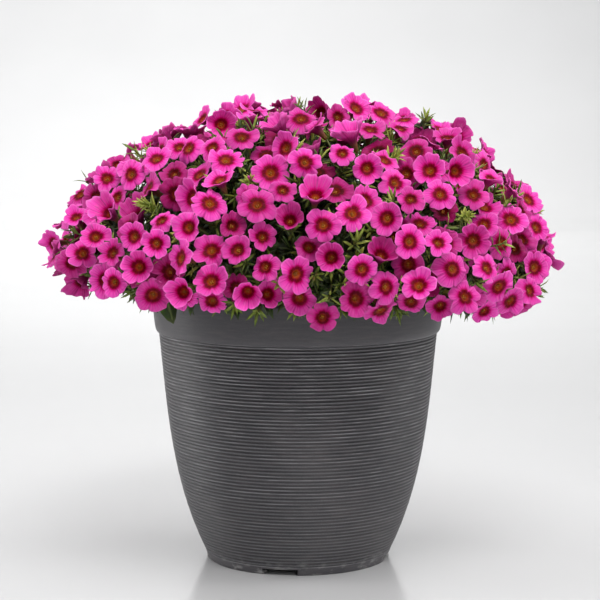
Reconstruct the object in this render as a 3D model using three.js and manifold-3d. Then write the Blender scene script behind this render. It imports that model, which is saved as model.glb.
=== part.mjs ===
// A calibrachoa (million bells) in bloom in a ribbed ten inch patio pot. Millimetres, +Z up, the floor
// at z = 0 and the pot's axis on Z. The front of the plant, where its fringe of flowers hangs shorter,
// is -Y.
//
// The pot, the soil and each leafy stem and flower spray of the plant are solids of their own. A leafy
// stem stands in a plain hole in the soil and widens into a core of dense foliage, with leafy shoots
// standing out of it. A flower spray sits on the outer face of each core: a short branch, with a stalk
// from it to every flower.
import * as THREE from "three";
import { mergeVertices } from "three/addons/utils/BufferGeometryUtils.js";
import Module from "manifold-3d";

const wasm = await Module();
wasm.setup();

// ---- Driving dimensions -----------------------------------------------------------------------------

const FIT = 0.3; // gap between two solids that rest on each other
const FINEST = 0.03; // edges that a join leaves shorter than this are dropped

// Pot: a foot ring, a ribbed wall that swells upwards, and a smooth band that stands proud of it up to
// the lip.
const POT_HEIGHT = 234;
const LIP_RADIUS = 127;
const BAND_FOOT = 200;
const BAND_RADIUS = 124.2;
const WALL = 3;
const POT_SIDES = 24;
const FOOT_RADIUS = 80.3;
const FOOT_HEIGHT = 4;
const FOOT_WIDTH = 6;
const BASE_UNDERSIDE = 5.5;
const BASE_TOP = 8.5;
const RIBS = 7;
const RIB_DEPTH = 1.3;
const NOTCHES = 4;
const NOTCH_WIDTH = 27;
const NOTCH_HEIGHT = 4.8;
const FIRST_NOTCH = THREE.MathUtils.degToRad(-101);
const DRAIN_RADIUS = 5;
const DRAIN_CIRCLE = 58;

// The ribbed wall's outline from the foot to the band, as radius and height.
const WALL_CURVE = new THREE.CubicBezierCurve(
  new THREE.Vector2(FOOT_RADIUS, FOOT_HEIGHT),
  new THREE.Vector2(113, 69),
  new THREE.Vector2(115, 139),
  new THREE.Vector2(121.8, BAND_FOOT),
);

const SOIL_TOP = 213;
const SOIL_CROWN = 4; // the soil's middle stands this much higher than its edge

// The dome that the flowers' faces lie on: half an ellipsoid over a shallow lower one.
const DOME_RADIUS = 216;
const DOME_TOP = 398;
const DOME_EQUATOR = 257;
const DOME_DROP = 80;
const DOME_SWAY = 13; // the crown, and the lower half, lie towards +X from the equator by up to this
const FRINGE_LIFT = 0.66; // share of the drop that the fringe lacks where it hangs shortest
const LIFTED_WAY = THREE.MathUtils.degToRad(-145); // which is the left, and a little to the front
const LOWEST = -0.47; // height of the lowest flowers, as a share of the drop

// Flowers
const SEED = 25;
const FLOWERS = 412;
const LOBES = 5;
const FLOWER_RADIUS = 14.6;
const CROWDED_RADIUS = 10.2;
const LEAST_RADIUS = 8.5; // of a flower that has little room
const FLOWER_APART = 25.2;
const SPREAD_ROUNDS = 60;
const LOBE_NOTCH = 0.82; // radius between two lobes over the radius at a lobe's tip
const THROAT_DEPTH = 5.5;
const NECK_DEPTH = 9.5;
const NECK_RADIUS = 2.4;
const MOST_INSET = 27; // how far under the dome the deepest flower sits
const NOTCHED_INSET = 0.4; // flowers that sit deeper than this have no notches between their lobes
const WANDER = 14; // how far a flower may stray from its place in the even layout
const HANGING_FLOWER = new THREE.Vector3(19, -197, 233); // one flower of the fringe hangs lower, here

// What turns a flower's face: shares of the dome's own normal across and up, of the way out along its
// stalk and of a nod of its own, and a turn towards the front, twice this at the front of the dome and
// none at its back.
const FACING = { across: 1, up: 0.85, outward: 0.3, nod: 0.85, front: 0.6 };

// Leafy stems fan out in three tiers from a point in the soil, each to the middle of its share of the
// dome.
const FAN_POINT = new THREE.Vector3(0, 0, 190);
const TIERS = [
  { stems: 3, elevation: 76, turn: 0.5 },
  { stems: 9, elevation: 50.5, turn: 0 },
  { stems: 16, elevation: 22, turn: 0.25 },
];
const CORE_SHARE = 0.76; // of the dome's size
const CORE_BOTTOM = POT_HEIGHT + FIT;
const CORE_SIDES = 16;
const CORE_RINGS = 5;
const CORE_GAP = 0.4; // from a core's side to the plane between it and its neighbour
const STEM_RADIUS = 3.2;
const STEM_SIDES = 4;
const STEM_REACH = 98; // furthest that a stem stands from the pot's axis under its core
const STEM_LEAN = 0.85; // its distance from the axis in the soil over that under its core
const STEM_DEPTH = 16;
const BRANCH_RADIUS = 3;
const BRANCH_SHARE = 0.5; // of the way from the core to the dome

// Leafy shoots, each with a tuft of narrow leaves, stand where the flowers leave the most room.
const SHOOTS = 38;
const SHOOT_SITES = 1000;
const TUFT_LEAVES = 4;
const LEAF_LENGTH = 24;
const LEAF_WIDTH = 7.4;
const SHOOT_RISE = 0.3; // what is added to the dome's normal in the way that a shoot points
const LEAF_SPREAD = THREE.MathUtils.degToRad(34);
const TUFT_SPINS = 4; // turns that a tuft is tried at

const COLOURS = { pot: 0x4a494c, soil: 0x3a2c22, stem: 0x5b6b2b, spray: 0xd9429a };

// ---- Solids -----------------------------------------------------------------------------------------

function solidOf(geometry) {
  const bare = geometry.index ? geometry.toNonIndexed() : geometry.clone();
  bare.deleteAttribute("normal");
  bare.deleteAttribute("uv");
  const merged = mergeVertices(bare, 1e-4);
  return new wasm.Manifold(
    new wasm.Mesh({
      numProp: 3,
      vertProperties: merged.attributes.position.array,
      triVerts: new Uint32Array(merged.index.array),
    }),
  );
}

function geometryOf(solid) {
  const mesh = solid.simplify(FINEST).getMesh();
  return new THREE.BufferGeometry()
    .setAttribute("position", new THREE.BufferAttribute(mesh.vertProperties, 3))
    .setIndex(new THREE.BufferAttribute(mesh.triVerts, 1));
}

// A closed surface through rings of points, all counter-clockwise as seen from past the last ring.
// Rings may differ in their number of points, a ring of one point is a tip, and flat fans close the end
// rings.
function loft(rings) {
  const corners = [];
  const triangle = (a, b, c) => corners.push(...a, ...b, ...c);
  for (let k = 0; k + 1 < rings.length; k++) {
    const [low, high] = [rings[k], rings[k + 1]];
    const [lowSteps, highSteps] = [low, high].map((points) => (points.length > 1 ? points.length : 0));
    let [i, j] = [0, 0];
    while (i < lowSteps || j < highSteps) {
      const onLow = j >= highSteps || (i < lowSteps && (i + 0.5) / lowSteps <= (j + 0.5) / highSteps);
      const [a, b] = [low[i % low.length], high[j % high.length]];
      if (onLow) triangle(a, low[++i % low.length], b);
      else triangle(a, high[++j % high.length], b);
    }
  }
  const [first, last] = [rings[0], rings[rings.length - 1]];
  for (let i = 1; i + 1 < first.length; i++) triangle(first[0], first[i + 1], first[i]);
  for (let i = 1; i + 1 < last.length; i++) triangle(last[0], last[i], last[i + 1]);
  const positions = new THREE.Float32BufferAttribute(corners, 3);
  return new THREE.BufferGeometry().setAttribute("position", positions);
}

function around(angle, radius, height) {
  return new THREE.Vector3(radius * Math.cos(angle), radius * Math.sin(angle), height);
}

function ring(sides, radius, height) {
  return Array.from({ length: sides }, (_, i) => around((2 * Math.PI * i) / sides, radius, height));
}

// The matrix that moves the origin to point and turns +Z to axis, after a turn about +Z.
function placing(point, axis, spin = 0) {
  const up = new THREE.Vector3(0, 0, 1);
  const turn = new THREE.Quaternion().setFromUnitVectors(up, axis);
  turn.multiply(new THREE.Quaternion().setFromAxisAngle(up, spin));
  return new THREE.Matrix4().compose(point, turn, new THREE.Vector3(1, 1, 1));
}

// A straight post between two points.
function post(from, to, radius, sides) {
  const along = to.clone().sub(from);
  const length = along.length();
  const upright = loft([ring(sides, radius, 0), ring(sides, radius, length)]);
  return solidOf(upright.applyMatrix4(placing(from, along.normalize())));
}

// A solid of revolution from a profile of [radius, height] that starts and ends on the axis.
function turned(profile, sides) {
  const points = profile.map(([radius, height]) => new THREE.Vector2(radius, height));
  return solidOf(new THREE.LatheGeometry(points, sides).rotateX(Math.PI / 2));
}

function united(solids) {
  return solids.reduce((whole, solid) => whole.add(solid));
}

function crossesAny(solid, others) {
  const box = solid.boundingBox();
  return others.some((other) => {
    const { min, max } = other.boundingBox();
    const near = [0, 1, 2].every((k) => box.min[k] < max[k] && min[k] < box.max[k]);
    return near && solid.intersect(other).volume() > 0;
  });
}

// ---- Random draws -----------------------------------------------------------------------------------

function makeRandom(seed) {
  let state = seed;
  return () => {
    state = (1664525 * state + 1013904223) % 4294967296;
    return state / 4294967296;
  };
}

// A vector whose x, y and z each lie between -1 and 1.
function scatter(random) {
  const [x, y, z] = [random(), random(), random()];
  return new THREE.Vector3(2 * x - 1, 2 * y - 1, 2 * z - 1);
}

// ---- Pot and soil -----------------------------------------------------------------------------------

function ribbedWall() {
  return Array.from({ length: 2 * RIBS + 1 }, (_, i) => {
    const at = WALL_CURVE.getPoint(i / (2 * RIBS));
    return [at.x - (i % 2 ? RIB_DEPTH : 0), at.y];
  });
}

function bandRadius(height) {
  return THREE.MathUtils.mapLinear(height, BAND_FOOT, POT_HEIGHT, BAND_RADIUS, LIP_RADIUS);
}

// The pot's inside, or what fills it with a gap all round, from the edge of the base up to top.
function inside(gap, top) {
  const slopes = [0.15, 0.35, 0.65, 0.97];
  const wall = slopes.map((share) => {
    const at = WALL_CURVE.getPoint(share);
    return [at.x - RIB_DEPTH - WALL - gap, at.y];
  });
  const stepHeight = BAND_FOOT + WALL;
  const band = [stepHeight, top].map((height) => [bandRadius(height) - WALL - gap, height]);
  return [[FOOT_RADIUS - WALL - gap, BASE_TOP + gap], ...wall, ...band];
}

function pot() {
  const lipRound = 2;
  const footInside = FOOT_RADIUS - FOOT_WIDTH;
  const shell = turned(
    [
      [0, BASE_UNDERSIDE],
      [footInside, BASE_UNDERSIDE],
      [footInside, 0],
      [FOOT_RADIUS, 0],
      ...ribbedWall(),
      [BAND_RADIUS, BAND_FOOT + 2],
      [LIP_RADIUS, POT_HEIGHT - lipRound],
      [LIP_RADIUS - lipRound / 2, POT_HEIGHT],
      ...inside(0, POT_HEIGHT).reverse(),
      [0, BASE_TOP],
    ],
    POT_SIDES,
  );
  const cuts = [];
  for (let i = 0; i < NOTCHES; i++) {
    const angle = FIRST_NOTCH + (2 * Math.PI * i) / NOTCHES;
    const notch = new THREE.BoxGeometry(4 * FOOT_WIDTH, NOTCH_WIDTH, 2 * NOTCH_HEIGHT).rotateZ(angle);
    cuts.push(solidOf(notch.translate(...around(angle, FOOT_RADIUS, 0))));
    const [below, above] = [0, 2 * BASE_TOP].map((height) => around(angle, DRAIN_CIRCLE, height));
    cuts.push(post(below, above, DRAIN_RADIUS, 6));
  }
  return shell.subtract(united(cuts));
}

function soil(stems) {
  const edge = inside(FIT, SOIL_TOP);
  const filling = turned([[0, BASE_TOP + FIT], ...edge, [0, SOIL_TOP + SOIL_CROWN]], POT_SIDES);
  const holes = stems.map(({ foot, head }) => {
    const along = head.clone().sub(foot).normalize();
    return post(foot.clone().addScaledVector(along, -FIT), head, STEM_RADIUS + 2 * FIT, STEM_SIDES);
  });
  return filling.subtract(united(holes));
}

// ---- The dome ---------------------------------------------------------------------------------------

// A direction is a point of the unit sphere, which stands for the point of the dome with the same share
// of its radius and of its height or drop.

function domeHalf(z) {
  return z >= 0 ? DOME_TOP - DOME_EQUATOR : DOME_DROP;
}

function domeNormal({ x, y, z }) {
  return new THREE.Vector3(x / DOME_RADIUS, y / DOME_RADIUS, z / domeHalf(z)).normalize();
}

function domePoint(direction, inset) {
  const { x, y, z } = direction;
  const lift = z < 0 ? (FRINGE_LIFT / 2) * (1 + Math.cos(Math.atan2(y, x) - LIFTED_WAY)) : 0;
  const height = DOME_EQUATOR + domeHalf(z) * z * (1 - lift);
  const point = new THREE.Vector3(DOME_RADIUS * x + DOME_SWAY * Math.abs(z), DOME_RADIUS * y, height);
  return point.addScaledVector(domeNormal(direction), -inset);
}

// Directions that cover the dome evenly by area, on a spiral that turns by the golden angle.
function domeLattice(count) {
  const steps = 4000;
  const step = (1 - LOWEST) / steps;
  const areas = [0];
  for (let i = 0; i < steps; i++) {
    const z = 1 - (i + 0.5) * step;
    areas.push(areas[i] + Math.hypot(DOME_RADIUS * z, domeHalf(z) * Math.sqrt(1 - z * z)));
  }
  const golden = Math.PI * (3 - Math.sqrt(5));
  const directions = [];
  let i = 0;
  for (let k = 0; k < count; k++) {
    while (areas[i] < (areas[steps] * (k + 0.5)) / count) i++;
    const z = 1 - i * step;
    directions.push(around(k * golden, Math.sqrt(1 - z * z), z));
  }
  return directions;
}

// The direction that lies a shift, in millimetres along the dome, from another one.
function moved(direction, shift) {
  const normal = domeNormal(direction);
  const along = shift.clone().addScaledVector(normal, -shift.dot(normal));
  along.divide(new THREE.Vector3(DOME_RADIUS, DOME_RADIUS, domeHalf(direction.z)));
  const next = direction.clone().add(along).normalize();
  if (next.z >= LOWEST) return next;
  return around(Math.atan2(next.y, next.x), Math.sqrt(1 - LOWEST * LOWEST), LOWEST);
}

// ---- Leafy stems ------------------------------------------------------------------------------------

function layStems() {
  const stems = [];
  for (const { stems: count, elevation, turn } of TIERS) {
    const rise = THREE.MathUtils.degToRad(elevation);
    const reach = Math.min(STEM_REACH, (CORE_BOTTOM - FAN_POINT.z) / Math.tan(rise));
    for (let i = 0; i < count; i++) {
      const angle = (2 * Math.PI * (i + turn)) / count;
      const way = around(angle, Math.cos(rise), Math.sin(rise));
      const foot = around(angle, reach * STEM_LEAN, SOIL_TOP - STEM_DEPTH);
      const head = around(angle, reach, CORE_BOTTOM + STEM_RADIUS);
      const base = alongWay(way, CORE_SHARE);
      const tip = base.clone().lerp(alongWay(way, 1), BRANCH_SHARE);
      stems.push({ way, foot, head, base, tip });
    }
  }
  return stems;
}

// Where a line from the fan point leaves the upper ellipsoid, at a share of the dome's size.
function alongWay(way, share) {
  const shrunk = new THREE.Vector3(DOME_RADIUS, DOME_RADIUS, domeHalf(1)).multiplyScalar(share);
  const start = FAN_POINT.clone().setZ(FAN_POINT.z - DOME_EQUATOR).divide(shrunk);
  const slope = way.clone().divide(shrunk);
  const [a, b, c] = [slope.lengthSq(), start.dot(slope), start.lengthSq() - 1];
  return FAN_POINT.clone().addScaledVector(way, (Math.sqrt(b * b - a * c) - b) / a);
}

function wayTo(point) {
  return point.clone().sub(FAN_POINT).normalize();
}

function nearestStem(point, stems) {
  const closeness = stems.map(({ way }) => way.dot(wayTo(point)));
  return closeness.indexOf(Math.max(...closeness));
}

// The foliage inside the dome: a smaller ellipsoid with a flat underside.
function wholeCore() {
  const rise = CORE_SHARE * domeHalf(1);
  const lowest = Math.asin((CORE_BOTTOM - DOME_EQUATOR) / rise);
  const profile = [[0, CORE_BOTTOM]];
  for (let i = 0; i < CORE_RINGS; i++) {
    const angle = THREE.MathUtils.lerp(lowest, Math.PI / 2, i / CORE_RINGS);
    profile.push([CORE_SHARE * DOME_RADIUS * Math.cos(angle), DOME_EQUATOR + rise * Math.sin(angle)]);
  }
  profile.push([0, DOME_EQUATOR + rise]);
  return turned(profile, CORE_SIDES);
}

// The part of the whole core that is nearer to one stem's way than to any other's.
function coreOf(stem, stems, whole) {
  let core = whole;
  for (const other of stems) {
    if (other === stem) continue;
    const across = stem.way.clone().sub(other.way).normalize();
    core = core.trimByPlane(across.toArray(), across.dot(FAN_POINT) + CORE_GAP);
  }
  return core;
}

// ---- Flower sprays ----------------------------------------------------------------------------------

// Every flower's centre and its own stem, the way it faces and where its stalk starts.
function layFlowers(stems) {
  const random = makeRandom(SEED);
  const flowers = domeLattice(FLOWERS).map((direction) => ({
    direction: moved(direction, scatter(random).multiplyScalar(WANDER)),
    inset: MOST_INSET * random() ** 2,
    nod: scatter(random),
    spin: 2 * Math.PI * random(),
  }));
  for (let round = 0; round <= SPREAD_ROUNDS; round++) {
    for (const flower of flowers) flower.centre = domePoint(flower.direction, flower.inset);
    const shifts = flowers.map((flower) => shiftApart(flower, flowers));
    flowers.forEach((flower, i) => (flower.direction = moved(flower.direction, shifts[i])));
  }
  const toHanging = flowers.map(({ centre }) => centre.distanceTo(HANGING_FLOWER));
  flowers[toHanging.indexOf(Math.min(...toHanging))].centre.copy(HANGING_FLOWER);
  flowers.forEach((flower, i) => {
    flower.own = nearestStem(flower.centre, stems);
    const { base, tip } = stems[flower.own];
    flower.root = base.clone().lerp(tip, 0.2 + 0.6 * ((i * 0.618) % 1));
    face(flower);
  });
  return flowers;
}

// Half of what a flower is short of its distance to each of the others.
function shiftApart(flower, flowers) {
  const shift = new THREE.Vector3();
  for (const other of flowers) {
    const apart = flower.centre.clone().sub(other.centre);
    const short = FLOWER_APART - apart.length();
    if (other !== flower && short > 0) shift.addScaledVector(apart.normalize(), short / 2);
  }
  return shift;
}

// Turns a flower's face outwards, and on until its neck is clear of where its stalk starts.
function face(flower) {
  const stalk = flower.centre.clone().sub(flower.root);
  const outward = stalk.clone().normalize();
  const normal = domeNormal(flower.direction);
  flower.axis = normal
    .clone()
    .multiply(new THREE.Vector3(FACING.across, FACING.across, FACING.up))
    .add(new THREE.Vector3(0, FACING.front * (normal.y - 1), 0))
    .addScaledVector(outward, FACING.outward)
    .addScaledVector(flower.nod, FACING.nod)
    .normalize();
  const clear = Math.max(1.5 * NECK_DEPTH, 0.5 * stalk.length());
  while (stalk.dot(flower.axis) < Math.min(clear, 0.9 * stalk.length())) {
    flower.axis.addScaledVector(outward, 0.1).normalize();
  }
}

// A flower as one solid: a funnel with a lobed rim, its throat sunk in, and a stalk from its neck to
// its root.
function flowerSolid({ centre, axis, spin, root, inset }, radius) {
  const place = placing(centre, axis, spin);
  const tips = ring(LOBES, radius, -0.5);
  const notches = tips.map((_, i) => around((Math.PI * (2 * i + 1)) / LOBES, LOBE_NOTCH * radius, 0.5));
  const rim = inset > NOTCHED_INSET ? tips : tips.flatMap((tip, i) => [tip, notches[i]]);
  const start = root.clone().applyMatrix4(place.clone().invert());
  const neck = ring(3, NECK_RADIUS, -NECK_DEPTH);
  const throat = new THREE.Vector3(0, 0, -THROAT_DEPTH);
  return solidOf(loft([[start], neck, rim, [throat]]).applyMatrix4(place));
}

function branchOf({ base, tip, way }, core) {
  const start = base.clone().addScaledVector(way, -4 * BRANCH_RADIUS);
  const clearOf = core.translate(way.clone().multiplyScalar(FIT).toArray());
  return post(start, tip, BRANCH_RADIUS, STEM_SIDES).subtract(core).subtract(clearOf);
}

// A flower's solid, as large as the other sprays and the foliage leave it room for. From the flowers of
// its own spray, its kin, it only keeps clear while it is larger than a crowded one.
function fittingFlower(flower, others, kin) {
  let radius = FLOWER_RADIUS;
  let solid = flowerSolid(flower, radius);
  const tight = () => radius > LEAST_RADIUS && crossesAny(solid, others);
  const crowded = () => radius > CROWDED_RADIUS && crossesAny(solid, kin);
  while (tight() || crowded()) {
    radius *= 0.95;
    solid = flowerSolid(flower, radius);
  }
  return solid;
}

function growSprays(flowers, stems, cores) {
  const sprays = stems.map((stem, i) => branchOf(stem, cores[i]));
  const kin = stems.map(() => []);
  for (const flower of flowers) {
    const others = [...sprays.filter((_, i) => i !== flower.own), ...cores];
    const solid = fittingFlower(flower, others, kin[flower.own]);
    kin[flower.own].push(solid);
    sprays[flower.own] = sprays[flower.own].add(solid);
  }
  return sprays;
}

// ---- Leafy shoots -----------------------------------------------------------------------------------

// A tuft of leaves as one solid, opening along an axis from its heart, with a shoot down to its root.
function tuftSolid(heart, axis, spin, root, length) {
  const place = placing(heart, axis, spin);
  const [out, up] = [length * Math.sin(LEAF_SPREAD), length * Math.cos(LEAF_SPREAD)];
  const [middle, half] = [0.45 * out, (LEAF_WIDTH * length) / LEAF_LENGTH / 2];
  const [aside, reach] = [Math.atan2(half, middle), Math.hypot(half, middle)];
  const step = (2 * Math.PI) / TUFT_LEAVES;
  const rim = [];
  for (let i = 0; i < TUFT_LEAVES; i++) {
    rim.push(around(i * step, out, up));
    rim.push(around(i * step + aside, reach, 0.55 * up));
    rim.push(around((i + 0.5) * step, 1.7, 2));
    rim.push(around((i + 1) * step - aside, reach, 0.55 * up));
  }
  const start = root.clone().applyMatrix4(place.clone().invert());
  const neck = ring(TUFT_LEAVES, 1.5, -2.5);
  return solidOf(loft([[start], neck, rim, [new THREE.Vector3(0, 0, 0.8)]]).applyMatrix4(place));
}

// Where a shoot to a point of the dome leaves the core: on the line to the fan point, or at the core's
// lower edge.
function shootRoot(point) {
  const share = CORE_SHARE - 0.06;
  const onLine = alongWay(wayTo(point), share);
  const lowest = CORE_BOTTOM + 10;
  if (onLine.z > lowest) return onLine;
  return around(Math.atan2(point.y, point.x), share * DOME_RADIUS, lowest);
}

// Directions to the places on the dome that have the most room around them, the widest first.
function openDirections(flowers) {
  const sites = domeLattice(SHOOT_SITES);
  const points = sites.map((direction) => domePoint(direction, 0));
  const room = points.map((point) => Math.min(...flowers.map(({ centre }) => centre.distanceTo(point))));
  return sites.map(() => {
    const best = room.indexOf(Math.max(...room));
    points.forEach((point, i) => (room[i] = Math.min(room[i], 0.6 * point.distanceTo(points[best]))));
    return sites[best];
  });
}

// A tuft at a place on the dome, as large and as far out as the others leave it room for, or null.
function fittingTuft(direction, root, turn, others) {
  const axis = domeNormal(direction).add(new THREE.Vector3(0, 0, SHOOT_RISE)).normalize();
  for (const [size, sink] of [[1, 0], [1, 6], [0.85, 3], [0.85, 9], [0.7, 6], [0.7, 12]]) {
    const length = size * LEAF_LENGTH;
    const heart = domePoint(direction, sink).addScaledVector(axis, 3 - length);
    for (let k = 0; k < TUFT_SPINS; k++) {
      const spin = turn + (2 * Math.PI * k) / (TUFT_LEAVES * TUFT_SPINS);
      const solid = tuftSolid(heart, axis, spin, root, length);
      if (!crossesAny(solid, others)) return solid;
    }
  }
  return null;
}

// Joins each stem's post to its core, and adds the shoots.
function growStems(flowers, stems, cores, sprays) {
  const random = makeRandom(SEED);
  const grown = stems.map(({ foot, head }, i) => cores[i].add(post(foot, head, STEM_RADIUS, STEM_SIDES)));
  let shoots = 0;
  for (const direction of openDirections(flowers)) {
    const root = shootRoot(domePoint(direction, 0));
    const own = nearestStem(root, stems);
    const others = [...sprays, ...grown.filter((_, i) => i !== own)];
    const tuft = fittingTuft(direction, root, 2 * Math.PI * random(), others);
    if (!tuft || !crossesAny(tuft, [cores[own]])) continue;
    grown[own] = grown[own].add(tuft);
    shoots += 1;
    if (shoots === SHOOTS) break;
  }
  return grown;
}

// ---- Assembly ---------------------------------------------------------------------------------------

function add(group, name, solid, color, roughness) {
  const material = new THREE.MeshStandardMaterial({ color, roughness, metalness: 0 });
  const mesh = new THREE.Mesh(geometryOf(solid), material);
  mesh.name = name;
  group.add(mesh);
}

function calibrachoa() {
  const stems = layStems();
  const flowers = layFlowers(stems);
  const whole = wholeCore();
  const cores = stems.map((stem) => coreOf(stem, stems, whole));
  const sprays = growSprays(flowers, stems, cores);
  const leafyStems = growStems(flowers, stems, cores, sprays);
  const group = new THREE.Group();
  add(group, "pot", pot(), COLOURS.pot, 0.6);
  add(group, "soil", soil(stems), COLOURS.soil, 0.95);
  stems.forEach((_, i) => {
    const number = String(i + 1).padStart(2, "0");
    add(group, `leafy_stem_${number}`, leafyStems[i], COLOURS.stem, 0.7);
    add(group, `flower_spray_${number}`, sprays[i], COLOURS.spray, 0.6);
  });
  return group;
}

export default calibrachoa();
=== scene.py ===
from math import cos, hypot, pi, radians, sin, sqrt, tan

import bpy
import numpy as np
from mathutils import Matrix, Quaternion, Vector, noise
from numpy.linalg import norm


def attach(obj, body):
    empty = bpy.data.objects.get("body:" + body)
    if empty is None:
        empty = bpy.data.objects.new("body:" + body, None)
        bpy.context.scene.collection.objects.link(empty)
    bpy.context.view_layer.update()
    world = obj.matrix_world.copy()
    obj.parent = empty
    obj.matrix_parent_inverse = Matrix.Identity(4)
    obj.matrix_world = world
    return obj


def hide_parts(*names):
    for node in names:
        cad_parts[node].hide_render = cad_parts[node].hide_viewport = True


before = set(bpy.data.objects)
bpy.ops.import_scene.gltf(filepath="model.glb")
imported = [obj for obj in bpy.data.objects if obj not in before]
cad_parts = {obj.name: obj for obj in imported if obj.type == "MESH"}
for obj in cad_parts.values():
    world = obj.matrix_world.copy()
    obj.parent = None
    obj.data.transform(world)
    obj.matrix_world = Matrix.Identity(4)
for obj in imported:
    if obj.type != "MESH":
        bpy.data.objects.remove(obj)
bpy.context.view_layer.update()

# A calibrachoa (million bells) in bloom in a ribbed patio pot. Metres, +Z up, the floor at z = 0 and
# the pot's axis on Z. The front is -Y.
#
# Every leafy stem and flower spray of the frame gets finer pieces in the same place: the flowers and
# the stems are laid out by the rule that the frame's own solids follow, and the leafy shoots stand
# where the frame's shoots do.

# ---- Driving dimensions ----

MM = 0.001
TURN = 2 * pi

# Pot
POT_HEIGHT = 0.234
LIP_RADIUS = 0.127
BAND_FOOT = 0.200
BAND_HEIGHT = POT_HEIGHT - BAND_FOOT
BAND_RADIUS = 0.1242
BAND_BULGE = 0.0006
WALL = 0.003
FOOT_RADIUS = 0.0803
FOOT_HEIGHT = 0.004
FOOT_WIDTH = 0.006
BASE_UNDERSIDE = 0.0055
BASE_TOP = 0.0085
NOTCHES = 4
NOTCH_WIDTH = 0.027
NOTCH_HEIGHT = 0.0048
FIRST_NOTCH = radians(-101)
DRAIN_RADIUS = 0.005
DRAIN_CIRCLE = 0.058
WALL_CURVE = np.array([(FOOT_RADIUS, FOOT_HEIGHT), (0.113, 0.069), (0.115, 0.139), (0.1218, BAND_FOOT)])
FOOT_SHARE = 0.013  # of the wall's curve lies on the rim of the foot
RIBS_FROM = 0.019  # share of the wall's curve where the ribs start
RIBS = 65
RIB_POINTS = 5
RIB_DEPTH = 0.0009
RIB_WEAR_AND_SHADE = (0.72, 1.15)  # how deep the ribs are, and how strong their painted shade and highlight, at the foot and under the band
RIB_WANDER = 0.00016  # in and out round the pot
SMOOTH = 2  # marks the faces without ribs
POT_COLUMNS = 128

SOIL_TOP = 0.213
SOIL_CROWN = 0.004
SOIL_RADIUS = 0.118
SOIL_INSET = 0.0012
SOIL_BUMPS = 0.0014
CRUMBS = 160
CRUMB_REACH = 0.112
PERLITE_SHARE = 0.3  # of the crumbs

# The dome that the flowers' faces lie on.
DOME_RADIUS = 0.216
DOME_TOP = 0.398
DOME_EQUATOR = 0.257
DOME_HALVES = np.array([DOME_RADIUS, DOME_RADIUS, DOME_TOP - DOME_EQUATOR])  # of the part over the equator
DOME_DROP = 0.080
DOME_SWAY = 0.013
FRINGE_LIFT = 0.66
LIFTED_WAY = radians(-145)
LOWEST = -0.47
LOWEST_RIM = sqrt(1 - LOWEST**2)

# Flowers
FLOWERS = 412
LOBES = 5
LOBE_STEPS = 8
FLOWER_APART = 0.0252
SPREAD_ROUNDS = 60
MOST_INSET = 0.027
WANDER = 0.014
HANGING_FLOWER = (0.019, -0.197, 0.233)
FACING_UP = 0.85
FACING_OUTWARD = 0.3
FACING_NOD = 0.85
FACING_FRONT = 0.6
OWN_TURN = 0.27  # each flower turns this much further than its solid, at most, and up by the next
OWN_LIFT = 0.20
NECK_DEPTH = 0.0095
FLOWER_RADIUS = (0.0113, 0.0155)
HANGING_SIZE = 1.1  # of the flower that hangs lowest in front, times another flower
CUPPED_SHARE = 0.09  # of the flowers are only half open
CUP = (-0.18, 0.36)  # how far the lobes' ends rise, in radii
HALF_OPEN_CUP = (0.6, 1.0)
LOBE_BEND = (-0.42, 0.3)  # each lobe's own rise and tilt, in radii
LOBE_TILT = (-0.32, 0.32)
LOBE_GROWTH = (-0.1, 0.08)
SEAM_NOTCH = (0.15, 0.27)
TIP_DENT = (0.0, 0.05)
RUFFLE = (0.015, 0.08)
RUFFLE_WAVES = (3, 7, 11)
PETAL_THICKNESS = 0.0006
TUBE_LENGTH = 0.0145
THROAT_DEPTH = 0.003
ANTHERS = 4
SEPALS = 5
SEPAL_LENGTH = (6.5, 8.5)  # in mm, as the width
SEPAL_WIDTH = 1.9
STALK_RADIUS = 0.0008
BUD_RADIUS = 0.0019

# Leafy stems
FAN_POINT = np.array([0, 0, 0.190])
TIERS = ((3, 76, 0.5), (9, 50.5, 0), (16, 22, 0.25))  # stems, elevation in degrees, turn
CORE_SHARE = 0.76
CORE_BOTTOM = 0.2343
STEM_RADIUS = 0.0032
STEM_REACH = 0.098
STEM_LEAN = 0.85
STEM_DEPTH = 0.016
BRANCH_SHARE = 0.5
TWIGS = 420
# On a whole dome, of which the ones under or over this share of its height are there
UNDER_TWIGS, UNDER_HEIGHT = 380, 0.4
CROWN_TWIGS, CROWN_FOOT = 100, 0.35
FRINGE_TWIGS = 124  # hang between the pot's lip and the lowest flowers
FRINGE_REACH = (0.148, 0.200)
FRINGE_FOOT = 0.222
TWIG_INSET, UNDER_INSET, CROWN_INSET = (-3, 22), (22, 62), (10, 34)  # of the twigs' tips from the dome, in mm
TWIG_TONE, FRINGE_TONE, SHADED_INNER_TONE = 0.9, 0.75, 0.5  # of their youngest leaves; the inner twigs' low tone is painted shade under and among the flowers
TWIG_POINTS = 9
SHORTEST_TWIG = 5  # of these points
TWIG_BOW = 0.008
TWIG_LIFT = 0.006
TWIG_LEAVES = 10
TIP_LEAVES = 11
TWIG_RADIUS = 0.0009
LEAF_LENGTH = 0.019
LEAF_WIDTH = 0.0046
SHOOT_LEAVES = 22
SHOOT_REACH = 0.024
SHOOTS_FROM = 0.8  # of the dome's size; only shoots stand further out on the frame's stems
SHOOTS_OVER = 0.1743
FEWEST_POINTS = 9  # in a shoot of the frame
HANGING_LEAF = (-0.110, -0.086, 0.241)  # one broad old leaf hangs over the pot's band
FACE_BEND = 0.003  # the lobes may lie this far behind the face
FACE_ROOM = 0.014  # in front of a flower is kept free of leaves
BUD_SHARE = 0.6  # of the shoots carry a bud

# Random draws for the flowers' places, their own turns, the plant, the ribs and the soil
FLOWER_SEED, TURN_SEED, PLANT_SEED, RIB_SEED, SOIL_SEED = 25, 43, 31, 7, 11

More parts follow.
